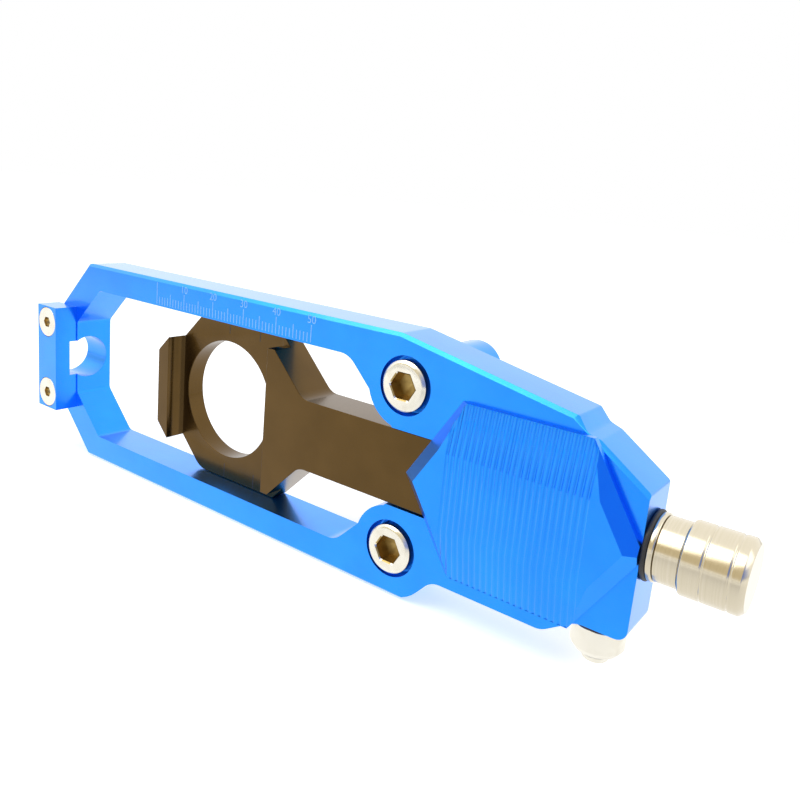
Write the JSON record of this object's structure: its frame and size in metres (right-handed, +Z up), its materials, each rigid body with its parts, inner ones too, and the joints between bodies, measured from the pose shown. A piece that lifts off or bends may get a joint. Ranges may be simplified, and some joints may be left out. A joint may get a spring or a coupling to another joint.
{
  "type": "motorcycle chain adjuster",
  "caption": "Swingarm-end chain adjuster for a motorcycle: a blue frame with an engraved scale, a sliding axle carrier, an adjuster screw with hand knob and a lock screw.",
  "frame": {"origin": "midway between the two fixing screws, in the plane where the spacers meet the swingarm", "axes": "+X along the adjuster screw towards the hand knob, -Y out of the scaled face, +Z up"},
  "size_m": [0.1802, 0.0361, 0.0524],
  "materials": {
    "blue_anodised": "gloss anodised",
    "bronze_anodised": "satin anodised",
    "bright_steel": "polished",
    "black_rubber": "matt",
    "dark_steel": "oiled",
    "brass": "turned"
  },
  "bodies": {
    "frame": {"frame_plate": "blue_anodised", "channel_cover": "blue_anodised", "cover_screw_1": "bright_steel", "cover_screw_2": "bright_steel", "cover_screw_3": "bright_steel", "cover_screw_4": "bright_steel", "anchor_block": "blue_anodised", "anchor_screw_upper": "bright_steel", "anchor_screw_lower": "bright_steel", "mount_screw_upper": "bright_steel", "mount_screw_lower": "bright_steel", "spacer_upper": "blue_anodised", "spacer_lower": "blue_anodised", "friction_ring": "black_rubber", "flange_washer": "bright_steel", "thrust_washer": "brass", "lock_washer": "dark_steel"},
    "slider": {"slider": "bronze_anodised"},
    "adjuster": {"adjuster_screw": "bright_steel", "adjuster_knob": "bright_steel", "retaining_clip": "dark_steel"},
    "lock_pad": {"lock_pad": "brass"},
    "lock_screw": {"lock_screw": "bright_steel"}
  },
  "joints": [
    {"name": "slider_travel", "type": "slide", "parent": "frame", "child": "slider", "axis": [1, 0, 0], "range_m": [-0.02, 0.02]},
    {"name": "adjuster_turn", "type": "hinge", "parent": "frame", "child": "adjuster", "pos_m": [0.037, -0.022, 0], "axis": [1, 0, 0], "range_deg": [-7200, 7200]},
    {"name": "lock_travel", "type": "slide", "parent": "frame", "child": "lock_pad", "axis": [0, 0, 1], "range_m": [-0.0016, 0]},
    {"name": "lock_turn", "type": "hinge", "parent": "lock_pad", "child": "lock_screw", "pos_m": [0.0414, -0.022, -0.016], "axis": [0, 0, 1], "range_deg": [-720, 0]}
  ],
  "couplings": [
    {"joint": "adjuster_turn", "follows": "slider_travel", "rad_per_m": -6283.2},
    {"joint": "lock_turn", "follows": "lock_travel", "rad_per_m": 7853.9}
  ]
}
